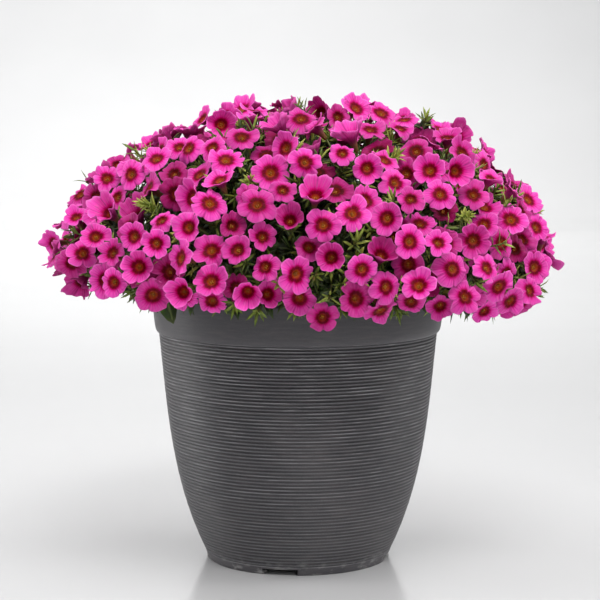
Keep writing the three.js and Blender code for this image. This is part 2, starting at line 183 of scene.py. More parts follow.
# Floor, light and camera
SWEEP_FRONT = -6.0
SWEEP_START = 4.2  # the floor curves up from here
SWEEP_RADIUS = 2.5
SWEEP_TOP = 6.0
SWEEP_HALF = 8.0
SWEEP_STEPS = 24
SOFTBOXES = (  # name, place, target, size, power
    ("key", (0.35, -1.25, 2.05), (0.02, -0.1, 0.15), (1.3, 0.9), 36),
    ("front", (0.5, -2.5, 0.8), (0, 0, 0.3), (1.6, 1.0), 9),
    ("top", (0, 0.3, 2.4), (0, 0, 0.2), (2.6, 1.6), 18),
    ("backdrop", (-0.45, 3.2, 2.6), (-0.45, 5.4, 0.7), (3.0, 1.2), 136),
    ("horizon", (-0.35, 1.9, 1.1), (-0.35, 1.95, 0), (3.2, 0.4), 12),
    ("left", (-1.6, 0.35, 0.75), (-0.1, 0, 0.05), (1.0, 1.3), 13),
    ("right", (1.7, 0.45, 1.2), (0, 0, 0.3), (1.0, 1.3), 12),
)
NO_GLOSS = "front"  # this softbox shows in no gloss
ROOM_LIGHT = 0.19
CAMERA_PLACE = (0, -1.6264, 0.3982)
CAMERA_DIP = 6.05
CAMERA_LENS = 112.26
CAMERA_SHIFT = 0.0033


def vector(*values):
    return np.array(values, dtype=float)


def unit(v):
    return v / norm(v, axis=-1, keepdims=True)


def mix(a, b, share):
    return a + (b - a) * share


def bezier(a, b, c, d, t):
    return (1 - t) ** 3 * a + 3 * t * (1 - t) ** 2 * b + 3 * t**2 * (1 - t) * c + t**3 * d


def up(height):
    return vector(0, 0, height)


def around(angle, radius, height):
    return vector(radius * cos(angle), radius * sin(angle), height)


def all_around(angles, radii, heights):
    return np.stack([radii * np.cos(angles), radii * np.sin(angles), heights], axis=-1)


def added(name, data):
    """A new object in the scene."""
    made = bpy.data.objects.new(name, data)
    bpy.context.scene.collection.objects.link(made)
    return made


# ---- Random draws ----


def make_random(seed):
    state = seed

    def draw():
        nonlocal state
        state = (1664525 * state + 1013904223) % 4294967296
        return state / 4294967296

    return draw


def scatter(draw):
    """A vector whose x, y and z each lie between -1 and 1."""
    return vector(*(2 * draw() - 1 for _ in range(3)))


def between(draw, low, high):
    return low + (high - low) * draw()


# ---- The dome ----


def dome_half(z):
    return np.where(z >= 0, DOME_TOP - DOME_EQUATOR, DOME_DROP)


def dome_scale(directions):
    half = dome_half(directions[..., 2])
    wide = np.full_like(half, DOME_RADIUS)
    return np.stack([wide, wide, half], axis=-1)


def dome_normal(directions):
    return unit(directions / dome_scale(directions))


def dome_point(directions, inset):
    x, y, z = np.moveaxis(directions, -1, 0)
    lifted = 1 + np.cos(np.arctan2(y, x) - LIFTED_WAY)
    lift = np.where(z < 0, FRINGE_LIFT / 2 * lifted, 0)
    height = DOME_EQUATOR + dome_half(z) * z * (1 - lift)
    places = np.stack([DOME_RADIUS * x + DOME_SWAY * np.abs(z), DOME_RADIUS * y, height], axis=-1)
    return places - np.asarray(inset)[..., None] * dome_normal(directions)


def dome_lattice(count):
    """Directions that cover the dome evenly by area, on a spiral that turns by the golden angle."""
    steps = 4000
    step = (1 - LOWEST) / steps
    middle = 1 - (np.arange(steps) + 0.5) * step
    slices = np.hypot(DOME_RADIUS * middle, dome_half(middle) * np.sqrt(1 - middle**2))
    areas = np.concatenate([[0], np.cumsum(slices)])
    found = np.searchsorted(areas, areas[-1] * (np.arange(count) + 0.5) / count)
    z = 1 - found * step
    angle = np.arange(count) * pi * (3 - sqrt(5))
    return all_around(angle, np.sqrt(1 - z**2), z)


def moved(directions, shifts):
    """Directions that lie a shift along the dome from others."""
    normals = dome_normal(directions)
    along = shifts - np.sum(shifts * normals, axis=-1, keepdims=True) * normals
    following = unit(directions + along / dome_scale(directions))
    angle = np.arctan2(following[..., 1], following[..., 0])
    edge = all_around(angle, LOWEST_RIM, np.full_like(angle, LOWEST))
    return np.where(following[..., 2:] >= LOWEST, following, edge)


def along_way(way, share):
    """Where a line from the fan point leaves the upper ellipsoid, at a share of the dome's size."""
    shrunk = DOME_HALVES * share
    start = (FAN_POINT - up(DOME_EQUATOR)) / shrunk
    slope = way / shrunk
    a, b, c = slope @ slope, start @ slope, start @ start - 1
    return FAN_POINT + way * (sqrt(b * b - a * c) - b) / a


def lay_stems():
    stems = []
    for count, elevation, turn in TIERS:
        rise = radians(elevation)
        reach = min(STEM_REACH, (CORE_BOTTOM - FAN_POINT[2]) / tan(rise))
        for i in range(count):
            angle = TURN * (i + turn) / count
            way = around(angle, cos(rise), sin(rise))
            base = along_way(way, CORE_SHARE)
            stems.append({
                "way": way,
                "foot": around(angle, reach * STEM_LEAN, SOIL_TOP - STEM_DEPTH),
                "head": around(angle, reach, CORE_BOTTOM + STEM_RADIUS),
                "base": base,
                "tip": mix(base, along_way(way, 1), BRANCH_SHARE),
            })
    return stems


def nearest_stem(point, stems):
    way = unit(point - FAN_POINT)
    return int(np.argmax([stem["way"] @ way for stem in stems]))


def lay_flowers(stems):
    draw = make_random(FLOWER_SEED)
    wander, insets, nods, spins = [], [], [], []
    for _ in range(FLOWERS):
        wander.append(scatter(draw) * WANDER)
        insets.append(MOST_INSET * draw() ** 2)
        nods.append(scatter(draw))
        spins.append(TURN * draw())
    directions = moved(dome_lattice(FLOWERS), np.array(wander))
    for _ in range(SPREAD_ROUNDS + 1):
        centres = dome_point(directions, insets)
        apart = centres[:, None] - centres[None]
        distance = norm(apart, axis=-1)
        np.fill_diagonal(distance, FLOWER_APART)
        short = np.maximum(FLOWER_APART - distance, 0) / 2
        directions = moved(directions, np.sum(apart * (short / distance)[..., None], axis=1))
    nearest = np.argmin(norm(centres - HANGING_FLOWER, axis=-1))
    centres[nearest] = HANGING_FLOWER
    sizes = np.where(np.arange(FLOWERS) == nearest, HANGING_SIZE, 1)
    normals = dome_normal(directions)
    flowers = []
    own_draw = make_random(TURN_SEED)
    for i in range(FLOWERS):
        own = nearest_stem(centres[i], stems)
        root = mix(stems[own]["base"], stems[own]["tip"], 0.2 + 0.6 * ((i * 0.618) % 1))
        axis = faced(centres[i] - root, normals[i], nods[i])
        axis = unit(axis + scatter(own_draw) * OWN_TURN + up(OWN_LIFT))
        flowers.append({"centre": centres[i], "own": own, "root": root, "axis": axis, "spin": spins[i],
                        "depth": insets[i] / MOST_INSET, "size": sizes[i]})
    return flowers


def faced(stalk, normal, nod):
    """Which way a flower faces."""
    outward = unit(stalk)
    axis = normal * vector(1, 1, FACING_UP)
    axis = axis + vector(0, FACING_FRONT * (normal[1] - 1), 0) + outward * FACING_OUTWARD + nod * FACING_NOD
    axis = unit(axis)
    length = norm(stalk)
    clear = max(1.5 * NECK_DEPTH, 0.5 * length)
    while stalk @ axis < min(clear, 0.9 * length):
        axis = unit(axis + 0.1 * outward)
    return axis


def shoots_of(node):
    """The points of each leafy shoot of a frame's leafy stem."""
    points = np.array([v.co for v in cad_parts[node].data.vertices])
    outer = norm((points - up(DOME_EQUATOR)) / DOME_HALVES, axis=1)
    points = points[(outer > SHOOTS_FROM) & (points[:, 2] > SHOOTS_OVER)]
    shoots = []
    while len(points):
        far = points[np.argmax(norm(points - FAN_POINT, axis=1))]
        near = norm(points - far, axis=1) < 1.5 * SHOOT_REACH
        if near.sum() >= FEWEST_POINTS:
            shoots.append(points[near])
        points = points[~near]
    return shoots


# ---- Shells ----


class Shells:
    """Closed shells that make one mesh. Every point keeps a place on its shell and the shell's tone,
    which the finishes read."""

    def __init__(self):
        self.points, self.places, self.tones = [], [], []
        self.quads, self.triangles = [], []
        self.quad_finishes, self.triangle_finishes = [], []
        self.count = 0

    def loft(self, first, rings, last, places, tone, finish=0, put=None):
        """A shell from a first point through rings to a last point, which put turns and moves. The rings
        are counter-clockwise as seen from past the last one, and places has a place for each point."""
        rings, places = np.asarray(rings), np.asarray(places, dtype=float)
        if put:
            first, rings, last = placed(first, put), placed(rings, put), placed(last, put)
        layers, steps = rings.shape[:2]
        start = self.count + 1 + np.arange(layers)[:, None] * steps
        here = start + np.arange(steps)
        after = start + (np.arange(steps) + 1) % steps
        quads = np.stack([here[:-1], after[:-1], after[1:], here[1:]], axis=-1).reshape(-1, 4)
        end = self.count + 1 + layers * steps
        low = np.stack([np.full(steps, self.count), after[0], here[0]], axis=-1)
        high = np.stack([np.full(steps, end), here[-1], after[-1]], axis=-1)
        self.points += [first[None], rings.reshape(-1, 3), last[None]]
        self.places += [places[0].mean(axis=0)[None], places.reshape(-1, 3), places[-1].mean(axis=0)[None]]
        self.tones.append(np.full(layers * steps + 2, tone))
        self.quads.append(quads)
        self.triangles += [low, high]
        self.quad_finishes.append(np.full(len(quads), finish))
        self.triangle_finishes.append(np.full(2 * steps, finish))
        self.count = end + 1

    def mesh(self, name, *used):
        """One mesh of all the shells, with the finishes of these names."""
        mesh = bpy.data.meshes.new(name)
        faces = np.concatenate(self.quads).tolist() + np.concatenate(self.triangles).tolist()
        mesh.from_pydata(np.concatenate(self.points).tolist(), [], faces)
        indices = np.concatenate(self.quad_finishes + self.triangle_finishes).astype(np.int32)
        mesh.polygons.foreach_set("material_index", indices)
        mesh.polygons.foreach_set("use_smooth", [True] * len(faces))
        place = mesh.attributes.new("place", "FLOAT_VECTOR", "POINT")
        place.data.foreach_set("vector", np.concatenate(self.places).astype(np.float32).ravel())
        tone = mesh.attributes.new("tone", "FLOAT", "POINT")
        tone.data.foreach_set("value", np.concatenate(self.tones).astype(np.float32))
        for finish in used:
            mesh.materials.append(finishes[finish])
        return mesh


def circle(steps):
    angle = TURN * np.arange(steps) / steps
    return np.stack([np.cos(angle), np.sin(angle)], axis=-1)


def revolved(shells, profile, columns):
    """A solid of revolution. The profile's points are (radius, height, mark), and run up the outside from
    one on the axis to another. The finish reads the marks."""
    flat = circle(columns)
    rings = [[(r * x, r * y, z) for x, y in flat] for r, z, _ in profile[1:-1]]
    places = [[(mark, 0, 0)] * columns for _, _, mark in profile[1:-1]]
    shells.loft(up(profile[0][1]), rings, up(profile[-1][1]), places, 0.5)


def tube(shells, points, radii, sides, tone):
    """A round stem through points, with a radius at each. It takes the second finish."""
    points = np.asarray(points)
    ways = unit(np.gradient(points, axis=0))
    side = unit(np.cross(ways[0], vector(0.3, 0.5, 0.8)))
    flat = circle(sides)
    rings = []
    for point, way, radius in zip(points, ways, radii):
        side = unit(side - way * (side @ way))
        other = np.cross(way, side)
        rings.append(point + radius * (flat[:, :1] * side + flat[:, 1:] * other))
    places = np.zeros((len(points), sides, 3))
    places[..., 0] = np.linspace(0, 1, len(points))[:, None]
    shells.loft(points[0] - ways[0] * radii[0], rings, points[-1] + ways[-1] * radii[-1], places, tone, 1)


def placing(point, axis, spin):
    """Rotation and place that move the origin to point and turn +Z to axis, after a turn about +Z."""
    turn = Vector((0, 0, 1)).rotation_difference(Vector(axis)) @ Quaternion((0, 0, 1), spin)
    return np.array(turn.to_matrix()), point


def placed(points, place):
    turn, point = place
    return points @ turn.T + point


# ---- Leaves and stems ----

LEAF_STATIONS = (0.1, 0.32, 0.58, 0.84)
PLAIN_STATIONS = (0.22, 0.66)
LEAF_TURN = 2.4  # from each leaf to the next round a twig
# Where each kind starts and ends on a twig, its lean, its sizes as shares of LEAF_LENGTH and LEAF_WIDTH,
# how it gets shorter along the twig, and its tone.
OLD_LEAF = {"from": (0.12, 0.86), "lean": (0.7, 1.5), "length": (0.65, 1.0), "width": (1.2, 2.2),
            "shrink": (1.4, 0.9), "tone": (0, 0.4)}
YOUNG_LEAF = {"from": (0.86, 1.0), "lean": (1.6, 0.25), "length": (0.55, 0.8), "width": (0.5, 0.68),
              "shrink": (1.0, 1.0), "tone": (0.5, 1.0)}
# From the first to the last leaf of a shoot, with place and length as shares of its reach
SHOOT_LEAF = {"place": (-0.05, 0.52), "lean": (1.5, 0.15), "length": (0.62, 0.42), "width": (0.72, 0.4)}


def leaf(shells, root, way, face, length, width, curl, tone, stations=LEAF_STATIONS):
    """A narrow leaf, folded along its midrib and curling back towards its tip."""
    side = unit(np.cross(face, way))
    face = np.cross(way, side)
    t = np.array(stations)[:, None]
    spine = root + way * length * t - face * curl * length * t**2
    half = width / 2 * (np.sin(pi * t**0.85)) ** 0.8
    rise = face * 0.35 * half
    thick = face * 0.3 * MM
    rings = np.stack([spine + side * half + rise, spine + thick, spine - side * half + rise,
                      spine - thick], axis=1)
    places = np.zeros(rings.shape)
    places[..., 0] = t
    places[:, (0, 2), 1] = 1
    places[:, 3, 2] = 1
    shells.loft(root, rings, root + way * length - face * curl * length, places, tone)


def meets_flower(root, tip, faces):
    """Whether a line goes through a flower's face, or stands in front of one."""
    start = np.sum((root - faces["centre"]) * faces["axis"], axis=1)
    end = np.sum((tip - faces["centre"]) * faces["axis"], axis=1)
    share = start / np.where(start == end, 1, start - end)
    hit = root + share[:, None] * (tip - root)
    inside = norm(hit - faces["centre"], axis=1) < FLOWER_RADIUS[0]
    if np.any((share > 0) & (share < 1.15) & inside):
        return True
    for point in (root, mix(root, tip, 0.4), mix(root, tip, 0.7), tip):
        away = point - faces["centre"]
        height = np.sum(away * faces["axis"], axis=1)
        aside = norm(away - height[:, None] * faces["axis"], axis=1)
        if np.any((height > -FACE_BEND) & (height < FACE_ROOM) & (aside < FLOWER_RADIUS[0])):
            return True
    return False


def clear_of_flowers(points, faces):
    """The part of a twig before the first flower that it would go through."""
    for k in range(len(points) - 1):
        if meets_flower(points[k], points[k + 1], faces):
            return points[: k + 1]
    return points


def leafy_twig(shells, points, youngest, faces, draw):
    """A twig with broad old leaves along it and a tuft of narrow young ones at its tip. Their tone is up
    to youngest."""
    tube(shells, points, np.linspace(1.3, 0.7, len(points)) * TWIG_RADIUS, 5, between(draw, 0.2, 0.6))
    turn = TURN * draw()
    last = len(points) - 1.001
    for i in range(TWIG_LEAVES + TIP_LEAVES):
        young = i >= TWIG_LEAVES
        kind = YOUNG_LEAF if young else OLD_LEAF
        along = (i - TWIG_LEAVES) / TIP_LEAVES if young else i / TWIG_LEAVES
        share = last * mix(*kind["from"], along)
        low = int(share)
        root = mix(points[low], points[low + 1], share - low)
        axis = unit(points[low + 1] - points[low])
        turn += LEAF_TURN
        side = unit(np.cross(axis, vector(0.2, 0.1, 1)))
        out = cos(turn) * side + sin(turn) * np.cross(axis, side)
        lean = mix(*kind["lean"], along) if young else between(draw, *kind["lean"])
        way = unit(axis + lean * out + scatter(draw) * 0.2)
        face = unit(axis - out * 0.3 + scatter(draw) * 0.3)
        curl = between(draw, -0.05, 0.35)
        length = LEAF_LENGTH * between(draw, *kind["length"]) * mix(*kind["shrink"], along)
        width = LEAF_WIDTH * between(draw, *kind["width"])
        tone = youngest * between(draw, *kind["tone"])
        if not meets_flower(root, root + (way - face * curl) * length, faces):
            leaf(shells, root, way, face, length, width, curl, tone, PLAIN_STATIONS)


def shoot(shells, points, draw):
    """A tuft of young leaves that fills the space of a frame's shoot."""
    far = norm(points - FAN_POINT, axis=1)
    root = points[np.argmin(far)]
    tips = points[np.argsort(far)[-4:]]
    heart = mix(points.mean(axis=0), root, 0.5)
    axis = unit(tips.mean(axis=0) - heart)
    reach = norm(tips - heart, axis=1).max()
    side = unit(np.cross(axis, vector(0.3, 0.2, 1)))
    other = np.cross(axis, side)
    spine = [heart + axis * reach * k for k in (0, 0.3, 0.55)]
    tube(shells, spine, (0.9 * MM, 0.8 * MM, 0.5 * MM), 5, 0.8)
    for i in range(SHOOT_LEAVES):
        share = i / (SHOOT_LEAVES - 1)
        angle = LEAF_TURN * i + between(draw, -0.3, 0.3)
        out = cos(angle) * side + sin(angle) * other
        place, lean, length, width = (mix(*span, share) for span in SHOOT_LEAF.values())
        lean = lean * between(draw, 0.8, 1.2)
        way = unit(axis + lean * out)
        face = unit(axis * lean - out)
        length = reach * length * between(draw, 0.8, 1.1)
        curl, tone = between(draw, 0.0, 0.3), between(draw, 0.75, 1.1)
        leaf(shells, heart + axis * reach * place, way, face, length, LEAF_WIDTH * width, curl, tone)
    if draw() < BUD_SHARE:
        aside = unit(axis + 0.5 * side)
        bud(shells, heart + axis * reach * 0.45, aside, reach * between(draw, 0.38, 0.5), draw)
    return heart


# ---- Flowers ----

RIM_STEPS = LOBES * LOBE_STEPS
RIM_ANGLE = TURN * np.arange(RIM_STEPS) / RIM_STEPS
PAST_SEAM = np.arange(RIM_STEPS) + LOBE_STEPS // 2
RIM_LOBE = (PAST_SEAM // LOBE_STEPS) % LOBES
# Share of the way from a lobe's midline, 0, to the seam between two lobes, 1 and -1.
RIM_SIDE = PAST_SEAM % LOBE_STEPS / (LOBE_STEPS / 2) - 1
RIM_ACROSS = np.abs(RIM_SIDE)

# The tube's outside from its base up, as radius and depth below the face, in millimetres.
TUBE = ((1.6, 13.6), (2.7, 7.2), (4.5, 3.0))
# The throat from its mouth down.
THROAT = ((3.3, 0.6), (2.3, 1.8))
# Shares of the radius that have a ring on the back and on the front of the petals.
BACK = (0.5, 0.86)
FRONT = (0.985, 0.88, 0.73, 0.57, 0.43, 0.34)


def petal_form(radius, draw):
    """How one flower's five lobes are bent, as a function of the share of the radius."""
    cup = between(draw, *(CUP if draw() > CUPPED_SHARE else HALF_OPEN_CUP))
    bends, tilts, growths = (
        np.array([between(draw, *span) for _ in range(LOBES)]) for span in (LOBE_BEND, LOBE_TILT, LOBE_GROWTH)
    )
    notch = between(draw, *SEAM_NOTCH)
    dent = between(draw, *TIP_DENT)
    ruffles = [(waves, between(draw, *RUFFLE), between(draw, 0, TURN)) for waves in RUFFLE_WAVES]
    dome = 1 - RIM_ACROSS**2
    reach = 1 - notch * RIM_ACROSS**4 - dent * np.exp(-((RIM_ACROSS / 0.3) ** 2)) + growths[RIM_LOBE] * dome
    reach = radius * (reach + 0.015 * np.sin(11 * RIM_ANGLE + ruffles[0][2]))

    def at(share, sunk=0.0):
        s = np.clip((share - 0.28) / 0.72, 0, 1)
        height = (cup + (bends[RIM_LOBE] + tilts[RIM_LOBE] * RIM_SIDE) * dome) * s**1.5
        for waves, high, phase in ruffles:
            height = height + high * s**2 * np.sin(waves * RIM_ANGLE + phase)
        height = height - 0.04 * s**0.7 * np.where(RIM_ACROSS == 1, 1, np.exp(-((RIM_ACROSS / 0.2) ** 2)))
        return all_around(RIM_ANGLE, reach * share, radius * height - sunk)

    return at


def bloom(shells, flower, draw):
    """An open flower: a tube that widens into five joined lobes, as one thin shell."""
    radius = between(draw, *FLOWER_RADIUS) * flower["size"]
    at = petal_form(radius, draw)
    flat = all_around(RIM_ANGLE, 1, np.zeros(RIM_STEPS))
    rings, places = [], []

    def add(points, share, front):
        rings.append(points)
        places.append(np.stack([np.full(RIM_STEPS, share), RIM_ACROSS, np.full(RIM_STEPS, front)], axis=-1))

    for r, depth in TUBE:
        add(flat * r * MM - up(MM) * depth, r * MM / radius, 0.0)
    for share in BACK:
        add(at(share, PETAL_THICKNESS), share, 0.0)
    add(at(1.0, PETAL_THICKNESS / 2), 1.0, 0.5)
    for share in FRONT:
        add(at(share), share, 1.0)
    for r, depth in THROAT:
        add(flat * r * MM - up(MM) * depth, r * MM / radius, 1.0)
    put = placing(flower["centre"], flower["axis"], flower["spin"])
    # Half of the tone is drawn at random and half is painted shade: the deeper a flower lies in the dome, the
    # darker it is.
    tone = mix(draw(), flower["depth"], 0.5)
    shells.loft(up(-TUBE_LENGTH), rings, up(-THROAT_DEPTH), places, tone, put=put)
    return put


def bead(shells, middle, radius, tall, put, tone, finish):
    """A small rounded grain, such as an anther."""
    rings = []
    for height in (-0.45, 0.45):
        wide = radius * sqrt(1 - height**2)
        rings.append([(wide * x, wide * y, tall * height) for x, y in circle(5)])
    rings = np.array(rings) + middle
    end = up(tall)
    shells.loft(middle - end, rings, middle + end, np.zeros(rings.shape), tone, finish, put)


def flower_parts(petals, greens, flower, draw):
    """A flower with its anthers, its calyx and its stalk."""
    put = bloom(petals, flower, draw)
    for k in range(ANTHERS):
        spot = around(TURN * (k + 0.6 * draw()) / ANTHERS, 0.95 * MM, -1.9 * MM)
        bead(petals, spot, 0.85 * MM, 0.6 * MM, put, draw(), 1)
    for k in range(SEPALS):
        angle = TURN * (k + 0.5 * draw()) / SEPALS
        out = put[0] @ around(angle, 1, 0)
        start = placed(around(angle, 1, -14.2) * MM, put)
        way = unit(put[0] @ up(1) + 0.35 * out)
        length = between(draw, *SEPAL_LENGTH) * MM
        tone = between(draw, 0.4, 0.7)
        leaf(greens, start, way, out, length, SEPAL_WIDTH * MM, 0.25, tone, PLAIN_STATIONS)
    base = placed(up(-14.0) * MM, put)
    away = norm(base - flower["root"])
    bend = base - flower["axis"] * away * 0.45
    middle = mix(flower["root"], base, 0.3) + scatter(draw) * away * 0.12
    points = bezier(base, bend, middle, flower["root"], np.linspace(0, 1, 6)[:, None])
    tube(greens, points, np.linspace(1.1, 0.9, 6) * STALK_RADIUS, 4, between(draw, 0.3, 0.6))


def bud(shells, root, way, length, draw):
    """A closed flower: a furled pointed cone out of its calyx."""
    put = placing(root, way, between(draw, 0, 6.28))
    crimp = 1 + 0.12 * np.cos(pi * np.arange(8))
    rings, places = [], []
    for t in (0.0, 0.25, 0.5, 0.75, 0.92):
        wide = BUD_RADIUS * (0.55 + 0.9 * t - 1.25 * t**3)
        c, s = cos(0.9 * t), sin(0.9 * t)
        rings.append([(wide * k * (c * x - s * y), wide * k * (s * x + c * y), length * t)
                      for (x, y), k in zip(circle(8), crimp)])
        places.append([(0.5 + 0.3 * t, 0.5, 0.0)] * 8)
    shells.loft(up(-0.4 * MM), rings, up(length), places, draw(), 2, put)
    for k in range(SEPALS):
        angle = TURN * k / SEPALS
        out = put[0] @ around(angle, 1, 0)
        start = placed(around(angle, 0.7, -0.5) * MM, put)
        leaf(shells, start, unit(way + 0.28 * out), out, 0.55 * length, 1.7 * MM, 0.3, 0.75)


# ---- Pot and soil ----


def wall_point(t):
    return bezier(*WALL_CURVE, t)


def band_radius(height):
    return mix(BAND_RADIUS, LIP_RADIUS, (height - BAND_FOOT) / BAND_HEIGHT)


def inside_of_pot(gap, top):
    wall = [wall_point(share) for share in np.linspace(0.12, 0.97, 12)]
    step = [(band_radius(z) - WALL - gap, z) for z in (BAND_FOOT + WALL, top)]
    floor = FOOT_RADIUS - WALL - gap
    return [(floor, BASE_TOP + gap)] + [(r - 1.5 * MM - WALL - gap, z) for r, z in wall] + step


def pot_profile():
    """The pot's outline as (radius, height, mark), from the middle of its underside round to the middle
    of its inside. The mark runs from 0 in a groove to 1 on a rib, and is SMOOTH elsewhere."""
    inner = FOOT_RADIUS - FOOT_WIDTH
    foot_top = wall_point(FOOT_SHARE)
    under = [(0, BASE_UNDERSIDE), (inner - 0.5 * MM, BASE_UNDERSIDE), (inner, 5.0 * MM), (inner, 0.6 * MM)]
    under += [(inner + 0.6 * MM, 0), (FOOT_RADIUS - 0.9 * MM, 0), (FOOT_RADIUS - 0.1 * MM, 0.7 * MM)]
    under += [(FOOT_RADIUS + 0.4 * MM, FOOT_HEIGHT), (foot_top[0] + 0.2 * MM, foot_top[1])]
    ribs = []
    draw = make_random(RIB_SEED)
    for rib in range(RIBS):
        depth = RIB_DEPTH * between(draw, 0.7, 1.15) * mix(*RIB_WEAR_AND_SHADE, rib / RIBS)
        for k in range(RIB_POINTS):
            t = (rib + k / RIB_POINTS) / RIBS
            r, z = wall_point(mix(RIBS_FROM, 1.0, t))
            crest = 0.5 + 0.5 * cos(TURN * k / RIB_POINTS + pi)
            ribs.append((r - depth * (1 - crest**0.8), z, 0.5 + (crest - 0.5) * mix(*RIB_WEAR_AND_SHADE, t)))
    ribs.append((BAND_RADIUS - 2.2 * MM, BAND_FOOT, 0.3))
    over = [(BAND_RADIUS - 0.7 * MM, BAND_FOOT + 0.8 * MM), (BAND_RADIUS, BAND_FOOT + 2.2 * MM)]
    for z in np.linspace(BAND_FOOT + 6 * MM, POT_HEIGHT - 8 * MM, 5):
        over.append((band_radius(z) + BAND_BULGE * sin(pi * (z - BAND_FOOT) / BAND_HEIGHT), z))
    lip, rim = LIP_RADIUS, LIP_RADIUS - WALL
    over += [(lip, POT_HEIGHT - 3 * MM), (lip, POT_HEIGHT - 1.2 * MM)]
    over += [(lip - 0.5 * MM, POT_HEIGHT - 0.3 * MM), (lip - 1.2 * MM, POT_HEIGHT)]
    over += [(rim + 0.8 * MM, POT_HEIGHT), (rim + 0.1 * MM, POT_HEIGHT - 0.6 * MM)]
    over += [*reversed(inside_of_pot(0, POT_HEIGHT - 4 * MM)), (0, BASE_TOP)]
    return [(*point, SMOOTH) for point in under] + ribs + [(*point, SMOOTH) for point in over]


def cut(piece, meshes):
    """Takes the shapes of meshes away from a piece."""
    for mesh in meshes:
        mesh.materials.append(piece.data.materials[0])
        tool = added("tool", mesh)
        cutter = piece.modifiers.new("cut", "BOOLEAN")
        cutter.operation = "DIFFERENCE"
        cutter.solver = "MANIFOLD"
        cutter.object = tool
        depsgraph = bpy.context.evaluated_depsgraph_get()
        result = bpy.data.meshes.new_from_object(piece.evaluated_get(depsgraph))
        piece.modifiers.clear()
        piece.data = result
        bpy.data.objects.remove(tool)


def notch_tool(angle):
    mesh = bpy.data.meshes.new("notch")
    corners = [(x, y * flare, z * mix(1, flare, 0.4)) for x, flare in ((-0.012, 0.75), (0.002, 1.25))
               for y in (-NOTCH_WIDTH / 2, NOTCH_WIDTH / 2) for z in (-NOTCH_HEIGHT, NOTCH_HEIGHT)]
    faces = [(0, 1, 3, 2), (4, 6, 7, 5), (0, 4, 5, 1), (2, 3, 7, 6), (0, 2, 6, 4), (1, 5, 7, 3)]
    mesh.from_pydata(corners, [], faces)
    mesh.transform(Matrix.Translation(around(angle, FOOT_RADIUS, 0)) @ Matrix.Rotation(angle, 4, "Z"))
    return mesh


def drain_tool(angle):
    shells = Shells()
    revolved(shells, [(0, 0, 0), (DRAIN_RADIUS, 0, 0), (DRAIN_RADIUS, 0.02, 0), (0, 0.02, 0)], 24)
    mesh = shells.mesh("drain")
    mesh.transform(Matrix.Translation(around(angle, DRAIN_CIRCLE, 0)))
    return mesh


def build_pot():
    shells = Shells()
    revolved(shells, pot_profile(), POT_COLUMNS)
    pot = added("pot_ribbed", shells.mesh("pot_ribbed", "pot"))
    for v in pot.data.vertices:
        x, y, z = v.co
        if hypot(x, y) > FOOT_RADIUS - 1.3 * MM and 2 * FOOT_HEIGHT < z < BAND_FOOT:
            shift = 1 + RIB_WANDER * noise.noise(Vector((x * 9, y * 9, z * 260))) / hypot(x, y)
            v.co = (x * shift, y * shift, z)
    angles = [FIRST_NOTCH + TURN * i / NOTCHES for i in range(NOTCHES)]
    for tool in (notch_tool, drain_tool):
        cut(pot, [tool(angle) for angle in angles])
    return pot


def build_soil():
    edge = inside_of_pot(SOIL_INSET, SOIL_TOP)
    across = np.linspace(0.97, 0.03, 36)
    top = [(edge[-1][0] * share, SOIL_TOP + SOIL_CROWN * (1 - share**2)) for share in across]
    profile = [(0, BASE_TOP + SOIL_INSET), *edge, *top, (0, SOIL_TOP + SOIL_CROWN)]
    shells = Shells()
    revolved(shells, [(r, z, 0) for r, z in profile], 96)
    draw = make_random(SOIL_SEED)
    for _ in range(CRUMBS):
        angle, out = TURN * draw(), CRUMB_REACH * sqrt(draw())
        spot = around(angle, out, SOIL_TOP + SOIL_CROWN * (1 - (out / SOIL_RADIUS) ** 2) + 0.3 * MM)
        size = between(draw, 0.8, 2.4) * MM
        put = placing(spot, unit(scatter(draw) + up(0.6)), between(draw, 0, 6))
        tall = size * between(draw, 0.4, 0.8)
        bead(shells, up(0), size, tall, put, draw(), draw() < PERLITE_SHARE)
    soil = shells.mesh("soil_mix", "soil", "perlite")
    for v in soil.vertices:
        if v.co.z > SOIL_TOP - MM and hypot(v.co.x, v.co.y) < SOIL_RADIUS - MM:
            v.co.z += SOIL_BUMPS * (noise.noise(v.co * 90) + 0.5 * noise.noise(v.co * 260))
    return added("soil_mix", soil)


# ---- Finishes ----


